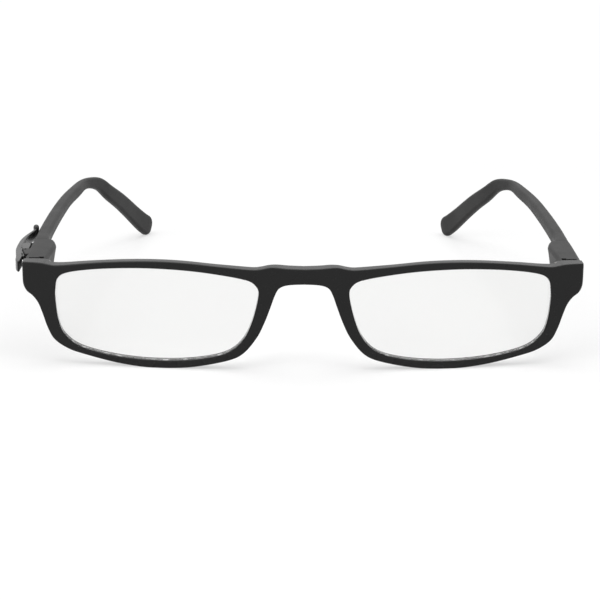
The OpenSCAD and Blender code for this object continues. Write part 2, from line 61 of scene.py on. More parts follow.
def sided(side, name):
    """A name on one side of the glasses: side is 1 for the wearer's left and -1 for the right."""
    return ("left_" if side > 0 else "right_") + name


# The front, from its solid, whose curves swing a little past their points
SIDE_X = corner_mm("left_temple", 1).x
ROOT_TOP = corner_mm("clip_pin", 1).z
SEAT_Y = corner_mm("front_frame", 1).y
PAST_TEMPLE = 0.09
ROOT_DROP = 1.75
END_DROP = 1.7
BRIDGE_DROP = 1.35
LENS_GAP = 22.4
LENS_W = 50.6
LENS_T = 1.8
LENS_PLAY = 0.03
RIM_LOW = 1.9
RIM_TOP = 1.8
RIM_DEPTH = 3.2
BRIDGE_DEPTH = 3.8
BRIDGE_HALF = 7.2
BRIDGE_H = 3.9
END_H = 7.85
BOW_R = 320
FRONT_OUT = SIDE_X + PAST_TEMPLE
FRONT_TOP = ROOT_TOP + ROOT_DROP
LENS_IN = LENS_GAP / 2
LENS_OUT = LENS_IN + LENS_W
LENS_BOT = RIM_LOW
LENS_TOP = FRONT_TOP - RIM_TOP
END_TOP = FRONT_TOP - END_DROP
END_BOT = END_TOP - END_H
BRIDGE_BOT = FRONT_TOP - BRIDGE_DROP - BRIDGE_H

# Radii of the front's edges
FRONT_EDGE = 0.3
BACK_EDGE = 0.4
OPENING_EDGE = 0.2
OPENING_BACK_EDGE = 0.25

# The hinge and the temples, from their solids
SCREW_HEAD_R = 1.15
KNUCKLE_R = 1.4
NOTCH_R = KNUCKLE_R + 0.3
HINGE_X = corner_mm("left_hinge_screw", 0).x + SCREW_HEAD_R
HINGE_Y = corner_mm("left_hinge_screw", 0).y + SCREW_HEAD_R
ROOT_Y = corner_mm("left_temple", 0).y
ROOT_H = 7.2
HINGE_Z = ROOT_TOP - ROOT_H / 2
HINGE_ROOF = HINGE_Z + 2.65
HOUSING_W = 6.3
HOUSING_WALL = 0.7
BOX_LOW = corner_mm("left_spring_box", 0)
BOX_HIGH = corner_mm("left_spring_box", 1)
HOUSING_END = BOX_HIGH.y + HOUSING_WALL
BLADE_W = 3.5
BLADE_H = 3.1
EDGE_ROUND = 1
EAR_W = 2.4
EAR_LEN = 38.3
EAR_LEAN = 21.9
TIP_R = 3.15
TIP_SHORT = 0.1
TIP_Y = corner_mm("left_temple", 1).y - TIP_R + TIP_SHORT
TIP_X = SIDE_X - EAR_LEAN
BEND_Y = TIP_Y - EAR_LEN

# The clip, from its solids
PIN_X = -(corner_mm("clip_pin", 0).x + corner_mm("clip_pin", 1).x) / 2
PIN_Y = (corner_mm("clip_pin", 0).y + corner_mm("clip_pin", 1).y) / 2
CLIP_LOW = corner_mm("clip_pin", 0).z
CLIP_TOP = ROOT_TOP
EAR_R = 0.65
EAR_REACH = 4.5


def between(a, b, c, d, t):
    """Point on a smooth curve between b and c, where a and d are their neighbours."""
    return tuple(
        0.5 * (
            2 * q + (r - p) * t + (2 * p - 5 * q + 4 * r - s) * t ** 2 + (3 * q - p - 3 * r + s) * t ** 3
        )
        for p, q, r, s in zip(a, b, c, d)
    )


def closed_curve(points, steps):
    """A smooth closed curve through points, with so many steps from each point to the next."""
    count = len(points)
    return [
        between(points[i - 1], points[i], points[(i + 1) % count], points[(i + 2) % count], k / steps)
        for i in range(count) for k in range(steps)
    ]


def open_curve(points, steps):
    """The same from the first point to the last."""
    last = len(points) - 1
    curve = [
        between(points[max(i - 1, 0)], points[i], points[i + 1], points[min(i + 2, last)], k / steps)
        for i in range(last) for k in range(steps)
    ]
    return curve + [tuple(points[last])]


def smoothstep(low, high, value):
    """0 up to low and 1 from high on, with a soft rise between."""
    t = min(max((value - low) / (high - low), 0), 1)
    return t * t * (3 - 2 * t)


# The wearer's left lens opening, seen from the front, clockwise from the nose
OPENING = closed_curve([
    (LENS_IN, LENS_TOP - 6.4), (LENS_IN + 0.7, LENS_TOP - 3.9), (LENS_IN + 3.2, LENS_TOP - 2.4),
    (LENS_IN + 9.3, LENS_TOP - 1.25), (LENS_IN + 17.2, LENS_TOP - 0.35), (LENS_IN + 25.9, LENS_TOP),
    (LENS_OUT - 17, LENS_TOP - 0.2), (LENS_OUT - 9.5, LENS_TOP - 0.85), (LENS_OUT - 3.2, LENS_TOP - 2),
    (LENS_OUT - 0.7, LENS_TOP - 3.6), (LENS_OUT - 0.05, LENS_TOP - 6.4), (LENS_OUT, LENS_TOP - 9.4),
    (LENS_OUT - 0.6, LENS_BOT + 9.4), (LENS_OUT - 2.2, LENS_BOT + 5.6), (LENS_OUT - 6.4, LENS_BOT + 2.6),
    (LENS_OUT - 15, LENS_BOT + 0.7), (LENS_IN + 25.5, LENS_BOT), (LENS_IN + 15.5, LENS_BOT + 0.6),
    (LENS_IN + 8, LENS_BOT + 2.4), (LENS_IN + 4, LENS_BOT + 5.7), (LENS_IN + 1.6, LENS_BOT + 10.6),
], 6)
# The front's left half, from the top of the bridge round to its underside
HALF_FRONT = open_curve([
    (0, FRONT_TOP - BRIDGE_DROP), (4, FRONT_TOP - 1.2), (8, FRONT_TOP - 0.9),
    (LENS_IN - 0.5, FRONT_TOP - 1.4),
    (LENS_IN + 2, FRONT_TOP - 1.55), (LENS_IN + 9.4, FRONT_TOP - 0.95), (LENS_IN + 18, FRONT_TOP - 0.2),
    (LENS_IN + 25.4, FRONT_TOP), (LENS_OUT - 17.2, FRONT_TOP - 0.3), (LENS_OUT - 9.1, FRONT_TOP - 1.05),
    (LENS_OUT - 0.9, FRONT_TOP - 2.1), (LENS_OUT + 1.7, END_TOP - 0.25), (FRONT_OUT - 4.6, END_TOP),
    (FRONT_OUT - 0.6, END_TOP), (FRONT_OUT - 0.05, END_TOP - 0.4), (FRONT_OUT, END_TOP - 1.8),
    (FRONT_OUT, END_BOT + 3.2), (FRONT_OUT - 0.2, END_BOT + 1.7), (FRONT_OUT - 0.9, END_BOT + 0.4),
    (FRONT_OUT - 2.4, END_BOT - 0.8), (FRONT_OUT - 3.8, END_BOT - 2.6), (LENS_OUT + 3.3, LENS_BOT + 10.6),
    (LENS_OUT + 2.2, LENS_BOT + 7.3), (LENS_OUT + 0.5, LENS_BOT + 4.2), (LENS_OUT - 2.9, LENS_BOT + 2),
    (LENS_OUT - 7, LENS_BOT + 0.75), (LENS_OUT - 15, 0.9), (LENS_OUT - 22.5, 0),
    (LENS_IN + 22, 0), (LENS_IN + 15.7, 0.55), (LENS_IN + 7.7, LENS_BOT + 0.4),
    (LENS_IN + 3.7, LENS_BOT + 2.4), (LENS_IN + 0.4, LENS_BOT + 6.5), (LENS_IN - 1.5, LENS_BOT + 10.4),
    (LENS_IN - 2.9, BRIDGE_BOT - 6.2), (LENS_IN - 4.1, BRIDGE_BOT - 2.8), (LENS_IN - 5.2, BRIDGE_BOT - 1),
    (LENS_IN - 7.4, BRIDGE_BOT - 0.2), (0, BRIDGE_BOT),
], 5)
WHOLE_FRONT = HALF_FRONT + [(-x, z) for x, z in reversed(HALF_FRONT[1:-1])]


def link_piece(name, bm, body, material, sharp_angle=35):
    """Makes a piece from a bmesh in millimetres, on a body, with smooth faces and sharp edges kept."""
    merge_distance = 0.002
    bmesh.ops.transform(bm, matrix=Matrix.Scale(MM, 4), verts=bm.verts)
    bmesh.ops.remove_doubles(bm, verts=bm.verts, dist=merge_distance * MM)
    bmesh.ops.recalc_face_normals(bm, faces=bm.faces)
    for face in bm.faces:
        face.smooth = True
    for edge in bm.edges:
        edge.smooth = edge.calc_face_angle(0) < math.radians(sharp_angle)
    mesh = bpy.data.meshes.new(name)
    bm.to_mesh(mesh)
    bm.free()
    piece = bpy.data.objects.new(name, mesh)
    bpy.context.scene.collection.objects.link(piece)
    mesh.materials.append(material)
    even = piece.modifiers.new("even_normals", "WEIGHTED_NORMAL")
    even.keep_sharp = True
    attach(piece, body)
    return piece


def inward(outline, i):
    """Unit vector to the right of a closed outline's run at point i."""
    before, after = outline[i - 1], outline[(i + 1) % len(outline)]
    run = Vector((after[0] - before[0], after[1] - before[1])).normalized()
    return Vector((run.y, -run.x))


def closed_loop(bm, points):
    """A closed loop of edges through points."""
    verts = [bm.verts.new(p) for p in points]
    return [bm.edges.new((verts[i - 1], verts[i])) for i in range(len(verts))]


def join_loops(bm, loops):
    """Faces from each closed loop to the next."""
    for a, b in zip(loops, loops[1:]):
        bmesh.ops.bridge_loops(bm, edges=a + b)


def skin_tube(bm, rings):
    """A closed tube through rings."""
    join_loops(bm, rings)
    for end in (rings[0], rings[-1]):
        bmesh.ops.edgeloop_fill(bm, edges=end)


def fill_both_ends(bm, first, last, outwards):
    """Flat faces at the two ends of a wall, where outwards is the way that the first one faces."""
    bmesh.ops.triangle_fill(bm, use_beauty=True, edges=first, normal=outwards)
    bmesh.ops.triangle_fill(bm, use_beauty=True, edges=last, normal=-Vector(outwards))


def loop_at(bm, outline, place, insets, levels):
    """A closed loop of edges: the outline moved inwards and placed at a level, point by point."""
    points = []
    for i, point in enumerate(outline):
        moved = Vector(point) + inward(outline, i) * insets[i]
        points.append(place(moved.x, moved.y, levels[i]))
    return closed_loop(bm, points)


def rounded_wall(bm, outline, place, depth, front, back, side=1, steps=5):
    """The wall along an outline, with an elliptical round at its front and a circular one at its back.

    front gives (height, depth) of the front round at each point, and back the radius of the back one.
    side is 1 where the body lies inside the outline and -1 where it lies outside.
    """
    loops = []
    turns = [math.radians(90 * k / steps) for k in range(steps + 1)]
    for turn in turns:
        loops.append(loop_at(
            bm, outline, place,
            [side * f[0] * (1 - math.sin(turn)) for f in front],
            [f[1] * (1 - math.cos(turn)) for f in front],
        ))
    for turn in turns:
        loops.append(loop_at(
            bm, outline, place,
            [side * b * (1 - math.cos(turn)) for b in back],
            [depth - b * (1 - math.sin(turn)) for b in back],
        ))
    join_loops(bm, loops)
    return loops[0], loops[-1]


def seen_from_front(x, z, depth):
    """Where a point of an outline seen from the front lies, at a depth behind it."""
    return (x, depth, z)


def seen_from_above(x, y, depth):
    """The same for the clip, whose outline is seen from above."""
    return (x, y, CLIP_TOP - depth)


def sag(x):
    """How far the bowed front lies back at x."""
    return BOW_R - math.sqrt(BOW_R ** 2 - x ** 2)


def cut_across(bm, x):
    """Cuts faces where they cross x, and removes nothing."""
    geom = list(bm.verts) + list(bm.edges) + list(bm.faces)
    bmesh.ops.bisect_plane(bm, geom=geom, plane_co=(x, 0, 0), plane_no=(1, 0, 0), dist=1e-4)


def slice_along_x(bm, step):
    """Cuts faces across X, so that a flat plate can be bent smoothly."""
    count = int(FRONT_OUT / step)
    for i in range(-count, count + 1):
        cut_across(bm, i * step)


def facing(cosine):
    """1 where a wall faces a direction and 0 where it faces well away from it."""
    return smoothstep(0.5, 0.95, cosine)


def top_round(x, upward):
    """How strongly the upper edge of a rim is rounded, from 0 at its ends to 1 along its middle."""
    off_nose = smoothstep(LENS_IN + 3, LENS_IN + 14, abs(x))
    off_end = 1 - smoothstep(LENS_OUT - 14, LENS_OUT - 2, abs(x))
    return off_nose * off_end * facing(upward)


def back_round(outline, i):
    """The back edge is rounder on the rims' tops, and plain where the end pieces meet the temples."""
    rounder = 0.5
    plain = smoothstep(FRONT_OUT - 12, FRONT_OUT - 8, abs(outline[i][0]))
    return BACK_EDGE * (1 - plain) + rounder * top_round(outline[i][0], -inward(outline, i).y)


def front_round(outline, i):
    """The front edge is rounder along the outer sides of the end pieces."""
    wider, deeper = 0.25, 0.3
    full = facing(abs(inward(outline, i).x)) * smoothstep(FRONT_OUT - 4, FRONT_OUT - 2, abs(outline[i][0]))
    return (FRONT_EDGE + wider * full, FRONT_EDGE + deeper * full)


def make_front(material):
    """Rims, bridge and end pieces in one, bowed, with the end pieces' backs drawn out to the hinges."""
    bm = bmesh.new()
    front_edges, back_edges = rounded_wall(
        bm, WHOLE_FRONT, seen_from_front, RIM_DEPTH,
        [front_round(WHOLE_FRONT, i) for i in range(len(WHOLE_FRONT))],
        [back_round(WHOLE_FRONT, i) for i in range(len(WHOLE_FRONT))],
    )
    for side in (1, -1):
        opening = [(side * x, z) for x, z in OPENING][::side]
        first, last = rounded_wall(
            bm, opening, seen_from_front, RIM_DEPTH,
            [(OPENING_EDGE, OPENING_EDGE)] * len(opening), [OPENING_BACK_EDGE] * len(opening), side=-1,
        )
        front_edges += first
        back_edges += last
    fill_both_ends(bm, front_edges, back_edges, (0, -1, 0))
    slice_along_x(bm, 2.8)
    end_in = HINGE_X - KNUCKLE_R
    for side in (1, -1):
        cut_across(bm, side * end_in)
    near = 1e-3
    backs = [
        f for f in bm.faces
        if all(abs(v.co.y - RIM_DEPTH) < near and abs(v.co.x) > end_in - near for v in f.verts)
    ]
    fade = 1.5
    for v in bm.verts:
        v.co.z = min(max(v.co.z, 0), FRONT_TOP)
        deeper = 1 - smoothstep(BRIDGE_HALF - fade, BRIDGE_HALF + fade, abs(v.co.x))
        v.co.y *= 1 + deeper * (BRIDGE_DEPTH / RIM_DEPTH - 1)
        v.co.y += sag(v.co.x)
    # A hair short of the seat, where the hinge plates lie flush
    hair = 0.02
    pushed = bmesh.ops.extrude_face_region(bm, geom=backs)
    for v in pushed["geom"]:
        if isinstance(v, bmesh.types.BMVert):
            v.co.y = SEAT_Y - hair
    bmesh.ops.delete(bm, geom=backs, context="FACES")
    piece = link_piece("front", bm, "front", material)
    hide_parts("front_frame")


def hull_of(bm, verts):
    """The convex hull of some vertices, with what lies inside removed."""
    hull = bmesh.ops.convex_hull(bm, input=verts)
    spare = dict.fromkeys(hull["geom_interior"] + hull["geom_unused"])
    bmesh.ops.delete(bm, geom=[g for g in spare if isinstance(g, bmesh.types.BMVert)], context="VERTS")


def add_hull(bm, points):
    """The convex hull of some points, added to a bmesh."""
    hull_of(bm, [bm.verts.new(p) for p in points])


def make_nose_pad(side, material):
    """A rounded wedge behind the rim, moulded with it."""
    edge = 0.9
    reach = 2.6
    root_y = RIM_DEPTH - edge
    balls = [
        (LENS_IN - 1.9, root_y, BRIDGE_BOT - 6), (LENS_IN + 0.9, root_y, LENS_BOT + 7.2),
        (LENS_IN - 0.7, RIM_DEPTH + reach - edge, BRIDGE_BOT - 7.4),
        (LENS_IN + 1.3, RIM_DEPTH + reach - edge, LENS_BOT + 8.4),
    ]
    bm = bmesh.new()
    for x, y, z in balls:
        bmesh.ops.create_uvsphere(
            bm, u_segments=24, v_segments=16, radius=edge, matrix=Matrix.Translation((side * x, y, z))
        )
    hull_of(bm, list(bm.verts))
    link_piece(sided(side, "nose_pad"), bm, "front", material, sharp_angle=60)


def make_lens(side, material):
    """A lens that fills the rim's opening, bowed as the front is."""
    bm = bmesh.new()
    opening = [(side * x, z) for x, z in OPENING][::side]
    front_y = 0.3
    lip = 0.08
    first, last = rounded_wall(
        bm, opening, seen_from_front, LENS_T,
        [(lip + LENS_PLAY, lip)] * len(opening), [lip] * len(opening), steps=2,
    )
    fill_both_ends(bm, first, last, (0, -1, 0))
    slice_along_x(bm, 1.4)
    for v in bm.verts:
        v.co.y += front_y + sag(v.co.x)
    piece = link_piece(
        sided(side, "lens_clear"), bm, "front", material, sharp_angle=10
    )
    piece.visible_shadow = False
    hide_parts(sided(side, "lens"))


# The temple's middle line, from the hinge to the middle of the ear tip's round end
TEMPLE_LINE = [
    (SIDE_X - 1.5, ROOT_Y, HINGE_Z), (SIDE_X - 1.5, BOX_LOW.y + 4, HINGE_Z + 0.2),
    (SIDE_X - 1.5, HOUSING_END - 3.4, ROOT_TOP - 3.05), (SIDE_X - 1.55, HOUSING_END, ROOT_TOP - 2.75),
    (SIDE_X - 1.6, HOUSING_END + 1.9, ROOT_TOP - 2.45), (SIDE_X - 1.65, HOUSING_END + 3.9, ROOT_TOP - 2),
    (SIDE_X - 1.7, HOUSING_END + 9.1, ROOT_TOP - 1.65), (SIDE_X - 1.95, BEND_Y - 49.5, ROOT_TOP - 1.35),
    (SIDE_X - 2.45, BEND_Y - 35.5, ROOT_TOP - 1.15), (SIDE_X - 3.35, BEND_Y - 20.5, ROOT_TOP - 0.85),
    (SIDE_X - 4.85, BEND_Y - 8.5, ROOT_TOP - 0.7), (TIP_X + 15.65, BEND_Y, ROOT_TOP - 0.75),
    (TIP_X + 13.8, BEND_Y + 5, ROOT_TOP - 1.3), (TIP_X + 11.7, BEND_Y + 10, ROOT_TOP - 2.95),
    (TIP_X + 9.4, BEND_Y + 15, TIP_R + 16), (TIP_X + 7, BEND_Y + 21, TIP_R + 12.2),
    (TIP_X + 5, BEND_Y + 26, TIP_R + 8.7), (TIP_X + 3.1, BEND_Y + 31, TIP_R + 5.1),
    (TIP_X + 1.2, BEND_Y + 35.5, TIP_R + 1.8), (TIP_X, TIP_Y, TIP_R),
]
# Width inside and outside that line, then the height below and above it
TEMPLE_SIZE = [
    (HOUSING_W - 2.1, 1.5, ROOT_H / 2, ROOT_H / 2),
    (HOUSING_W - 1.6, 1.5, ROOT_H / 2 - 0.15, ROOT_H / 2 - 0.15),
    (HOUSING_W - 1.3, 1.5, 3.1, 3.1), (HOUSING_W - 1.9, 1.5, 2.85, 2.85),
    (HOUSING_W - 2.6, 1.5, 2.55, 2.55), (BLADE_W / 2 + 0.75, 1.5, 2.1, 2.1),
    (BLADE_W / 2 + 0.15, BLADE_W / 2 - 0.2, BLADE_H / 2 + 0.2, BLADE_H / 2 + 0.25),
    (BLADE_W / 2 + 0.05, BLADE_W / 2 - 0.05, BLADE_H / 2 + 0.05, BLADE_H / 2 + 0.05),
    (BLADE_W / 2, BLADE_W / 2 - 0.05, BLADE_H / 2, BLADE_H / 2),
    (BLADE_W / 2, BLADE_W / 2 - 0.2, BLADE_H / 2, BLADE_H / 2 - 0.05),
    (BLADE_W / 2, BLADE_W / 2 - 0.35, BLADE_H / 2 + 0.05, BLADE_H / 2 - 0.05),
    (EAR_W / 2 + 0.15, EAR_W / 2 + 0.05, BLADE_H / 2 - 0.05, BLADE_H / 2 - 0.05),
    (EAR_W / 2, EAR_W / 2, BLADE_H / 2 + 0.1, BLADE_H / 2 + 0.1),
] + [
    (EAR_W / 2, EAR_W / 2, TIP_R - slimmer, TIP_R - slimmer)
    for slimmer in (1.15, 0.8, 0.6, 0.45, 0.3, 0.1, 0)
]
# Spans at the housing whose rings stand straight across
STRAIGHT_SPANS = 4


def temple_ring(bm, centre, size, out, up, lean):
    """One rounded rectangle across the temple, whose lower inner corner leans in by lean."""
    inner, outer, low, high = size
    r = min(EDGE_ROUND, 0.49 * min(inner + outer, low + high))
    steps = 6
    points = []
    for across, upward, start in ((1, -1, 270), (1, 1, 0), (-1, 1, 90), (-1, -1, 180)):
        x = outer - r if across > 0 else r - inner + lean * (upward < 0)
        z = high - r if upward > 0 else r - low
        for k in range(steps + 1):
            turn = math.radians(start + 90 * k / steps)
            offset = out * (x + r * math.cos(turn)) + up * (z + r * math.sin(turn))
            points.append(centre + offset)
    return closed_loop(bm, points)


def temple_rings(bm):
    """Rings along the temple, and on round its tip."""
    steps = 5
    front_lean, more_lean = 0.35, 0.5
    line = [Vector(p) for p in open_curve(TEMPLE_LINE, steps)]
    size = open_curve(TEMPLE_SIZE, steps)
    last = len(line) - 1
    ahead = (line[last] - line[last - 1]).normalized()
    end = line[last]
    for angle in (10, 20, 30, 40, 50, 60, 70, 78, 85):
        turn = math.radians(angle)
        line.append(end + ahead * TIP_R * math.sin(turn))
        half_w = EAR_W / 2 * math.sqrt(math.cos(turn))
        half_h = TIP_R * math.cos(turn)
        size.append((half_w, half_w, half_h, half_h))
    rings = []
    for i, centre in enumerate(line):
        if i < STRAIGHT_SPANS * steps:
            along = Vector((0, 1, 0))
        elif i >= last:
            along = ahead
        else:
            along = (line[i + 1] - line[i - 1]).normalized()
        out = along.cross(Vector((0, 0, 1))).normalized()
        lean = front_lean + more_lean * smoothstep(ROOT_Y, BOX_LOW.y + 4, centre.y)
        lean *= 1 - smoothstep(HOUSING_END - 4, HOUSING_END + 4, centre.y)
        rings.append(temple_ring(bm, centre, size[i], out, out.cross(along), lean))
    return rings


def box_object(name, low, high):
    """A box between two corners, used to cut."""
    bm = bmesh.new()
    bmesh.ops.create_cube(bm, size=1)
    for v in bm.verts:
        v.co = [low[i] + (v.co[i] + 0.5) * (high[i] - low[i]) for i in range(3)]
    return solid_object(name, bm)


def solid_object(name, bm):
    """A plain object in metres, used to cut another and then removed."""
    bmesh.ops.transform(bm, matrix=Matrix.Scale(MM, 4), verts=bm.verts)
    bmesh.ops.recalc_face_normals(bm, faces=bm.faces)
    mesh = bpy.data.meshes.new(name)
    bm.to_mesh(mesh)
    bm.free()
    solid = bpy.data.objects.new(name, mesh)
    bpy.context.scene.collection.objects.link(solid)
    return solid


def cut_away(whole, cutters):
    """The whole without its cutters, as a bmesh in millimetres."""
    for cutter in cutters:
        cut = whole.modifiers.new("cut", "BOOLEAN")
        cut.operation = "DIFFERENCE"
        cut.solver = "EXACT"
        cut.object = cutter
    seen = whole.evaluated_get(bpy.context.evaluated_depsgraph_get())
    shape = bpy.data.meshes.new_from_object(seen)
    bm = bmesh.new()
    bm.from_mesh(shape)
    bmesh.ops.transform(bm, matrix=Matrix.Scale(1 / MM, 4), verts=bm.verts)
    bpy.data.meshes.remove(shape)
    for solid in [whole] + cutters:
        mesh = solid.data
        bpy.data.objects.remove(solid)
        bpy.data.meshes.remove(mesh)
    return bm


def make_temple(side, material):
    """A temple with room for its hinge. The right one also carries the clip."""
    bm = bmesh.new()
    skin_tube(bm, temple_rings(bm))
    whole = solid_object("whole_temple", bm)
    knuckle_room = bmesh.new()
    bmesh.ops.create_cone(
        knuckle_room, cap_ends=True, segments=48, radius1=NOTCH_R, radius2=NOTCH_R, depth=HINGE_ROOF,
        matrix=Matrix.Translation((HINGE_X, HINGE_Y, HINGE_ROOF / 2)),
    )
    far_in = HINGE_X - 6
    in_front = ROOT_Y - 1
    notch_out = BOX_HIGH.x - 0.35
    slots_in, slots_meet, slots_out = HINGE_X + 0.2, HINGE_X + 1.4, HINGE_X + 3.9
    play = 0.02
    cutters = [
        solid_object("knuckle_room", knuckle_room),
        box_object("front_room", (far_in, in_front, 0), (notch_out, HINGE_Y, HINGE_ROOF)),
        box_object("side_room", (far_in, in_front - 0.1, 0), (HINGE_X, HINGE_Y + 1.3, HINGE_ROOF)),
        box_object("inner_slot", (slots_in, in_front, HINGE_Z), (slots_meet, ROOT_Y + 1.6, FRONT_TOP)),
        box_object("outer_slot", (slots_meet, in_front, HINGE_Z), (slots_out, ROOT_Y + 1, FRONT_TOP)),
        box_object(
            "box_room", (BOX_LOW.x - play, HINGE_Y - 0.1, BOX_LOW.z - play),
            (BOX_HIGH.x + play, BOX_HIGH.y + play, BOX_HIGH.z + play),
        ),
    ]
    bm = cut_away(whole, cutters)
    if side < 0:
        add_clip_ears(bm)
        bmesh.ops.scale(bm, vec=(-1, 1, 1), verts=bm.verts)
    piece = link_piece(
        sided(side, "temple_arm"), bm, sided(side, "arm"), material
    )
    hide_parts(sided(side, "temple"))


def round_points(x, y, radius, levels):
    """Points around a vertical axis, as many at each of the given heights."""
    count = 32
    turns = [math.tau * k / count for k in range(count)]
    return [(x + radius * math.cos(a), y + radius * math.sin(a), z) for z in levels for a in turns]


def block_points(low, high, edge):
    """Corners of a block with its edges cut off by edge."""
    sizes = [
        [(low[i], high[i]) if i == keep else (low[i] + edge, high[i] - edge) for i in range(3)]
        for keep in range(3)
    ]
    return [(x, y, z) for box in sizes for x in box[0] for y in box[1] for z in box[2]]


def add_clip_ears(bm):
    """Two ears outside the temple that hold the clip's pin."""
    ear_t = 0.5
    edge = 0.1
    sunk_x, root_x = SIDE_X - 1, SIDE_X + 0.35
    for low in (CLIP_LOW, CLIP_TOP - ear_t):
        high = low + ear_t
        tip = round_points(PIN_X, PIN_Y, EAR_R, (low + edge, high - edge))
        tip += round_points(PIN_X, PIN_Y, EAR_R - edge, (low, high))
        root = block_points((sunk_x, PIN_Y - EAR_REACH, low), (root_x, PIN_Y + EAR_R, high), edge)
        add_hull(bm, tip + root)


def make_clip(material):
    """The clip's strip with its tab and bead, and the webs that join it to the hub on the pin."""
    clip_t = 1.3
    end_t = 0.6
    tab_gap = 0.75
    tab_reach = 2.4
    clip_len = 33.8
    bow_out = 3.33
    bead_r = 0.75
    tab_x = FRONT_OUT + tab_gap + clip_t / 4
    tab_y = SEAT_Y - tab_reach
    bow_x = SIDE_X + bow_out - clip_t / 2
    bead_x = SIDE_X + bead_r
    bead_y = tab_y + clip_len
    # Middle line of the strip seen from above, with its thickness at each point
    line = open_curve([
        (tab_x - 0.12, tab_y + 0.05, 0.2), (tab_x - 0.02, tab_y + 0.3, clip_t / 2 - 0.05),
        (tab_x + 0.28, tab_y + 2.2, clip_t - 0.1),
        (tab_x + 0.45, tab_y + 5.6, clip_t + 0.2), (bow_x - 0.2, PIN_Y - 0.6, clip_t),
        (bow_x, PIN_Y + 3.6, clip_t), (bow_x - 0.1, PIN_Y + 9.3, clip_t - 0.05),
        (bow_x - 0.45, PIN_Y + 13, clip_t - 0.35), (bow_x - 1, PIN_Y + 16, end_t + 0.15),
        (bead_x + 0.15, bead_y - 2.6, end_t), (bead_x, bead_y, end_t),
    ], 6)
    inner, outer = [], []
    for i, (x, y, thick) in enumerate(line):
        run = Vector(line[min(i + 1, len(line) - 1)][:2]) - Vector(line[max(i - 1, 0)][:2])
        half = Vector((run.y, -run.x)).normalized() * thick / 2
        outer.append((x + half.x, y + half.y))
        inner.append((x - half.x, y - half.y))
    outline = inner + outer[::-1]
    edge = 0.22
    bm = bmesh.new()
    first, last = rounded_wall(
        bm, outline, seen_from_above, CLIP_TOP - CLIP_LOW,
        [(edge, edge)] * len(outline), [edge] * len(outline), steps=3,
    )
    fill_both_ends(bm, first, last, (0, 0, 1))

    # The bead, with a domed top
    bead_edge = 0.12
    bead = round_points(bead_x, bead_y, bead_r - bead_edge, (CLIP_LOW,))
    bead += round_points(bead_x, bead_y, bead_r, (CLIP_LOW + bead_edge, CLIP_TOP))
    for degrees in range(0, 90, 10):
        a = math.radians(degrees)
        bead += round_points(bead_x, bead_y, bead_r * math.cos(a), (CLIP_TOP + bead_r * math.sin(a),))
    add_hull(bm, bead + [(bead_x, bead_y, CLIP_TOP + bead_r)])

    # The hub between the ears, and the webs from it to the strip
    hub_low, hub_high = CLIP_LOW + 1.15, CLIP_TOP - 0.55
    web_in, web_out = SIDE_X + 0.1, bow_x - clip_t / 4
    web_top = CLIP_TOP - 0.1
    ramp_low, ramp_y, ramp_end = CLIP_LOW + 0.1, PIN_Y + 6, PIN_Y + 11
    slant_y, slant_end = PIN_Y - 3.4, PIN_Y - 0.7
    add_hull(bm, round_points(PIN_X, PIN_Y, EAR_R, (hub_low, hub_high)))
    front_web = block_points(
        (SIDE_X + 0.4, PIN_Y - EAR_REACH, hub_low), (web_out, ramp_y, hub_high), 0.1
    )
    rear_web = block_points((web_in, PIN_Y + 1.2, hub_low), (web_out, PIN_Y + 6.5, web_top), 0.15)
    outer_web = block_points((SIDE_X + 1.6, PIN_Y - 0.8, hub_low), (web_out, PIN_Y + 2, web_top), 0.12)
    ramp = [(x, ramp_y, z) for x in (web_in, web_out) for z in (ramp_low, web_top)]
    ramp += [(x, ramp_end, z) for x in (web_in, web_out - 0.2) for z in (ramp_low, CLIP_TOP - 1.3)]
    slant_at = [
        (SIDE_X + 1.05, slant_y), (SIDE_X + 1.6, slant_end), (web_out, slant_y), (web_out, slant_end),
    ]
    slant = [(x, y, z) for x, y in slant_at for z in (hub_low, web_top)]
    for points in (front_web, rear_web, outer_web, slant, ramp):
        add_hull(bm, points)
    bmesh.ops.scale(bm, vec=(-1, 1, 1), verts=bm.verts)
    piece = link_piece("clip_strip", bm, "clip", material)
    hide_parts("pocket_clip")


def make_hinge_coil(side, material):
    """A hinge's spring, drawn as a coil at rest between the ends of its solid; in the real hinge it
    shortens towards its stop as the temple springs out.
    """
    spring = sided(side, "hinge_spring")
    low, high = corner_mm(spring, 0), corner_mm(spring, 1)
    middle = (low + high) / 2
    wire_r = 0.12
    coil_r = (high.x - low.x) / 2 - wire_r
    turns = 9
    per_turn = 24
    steps = turns * per_turn
    around = [math.tau * k / 8 for k in range(8)]
    along = Vector((0, 1, 0))
    bm = bmesh.new()
    rings = []
    for i in range(steps + 1):
        turn = math.tau * i / per_turn
        outward = Vector((math.cos(turn), 0, math.sin(turn)))
        centre = middle + outward * coil_r
        centre.y = low.y + wire_r + (high.y - low.y - 2 * wire_r) * i / steps
        offsets = [(outward * math.cos(a) + along * math.sin(a)) * wire_r for a in around]
        rings.append(closed_loop(bm, [centre + offset for offset in offsets]))
    skin_tube(bm, rings)
    piece = link_piece(sided(side, "hinge_coil"), bm, sided(side, "arm"), material)
    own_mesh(piece)
    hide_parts(spring)


def new_group(name, inputs, outputs):
    """A node group with named sockets, and its input and output nodes."""
    group = bpy.data.node_groups.new(name, "ShaderNodeTree")
    for label, kind, value in inputs:
        socket = group.interface.new_socket(name=label, in_out="INPUT", socket_type=kind)
        socket.default_value = value
    for label, kind in outputs:
        group.interface.new_socket(name=label, in_out="OUTPUT", socket_type=kind)
    return group, group.nodes.new("NodeGroupInput"), group.nodes.new("NodeGroupOutput")


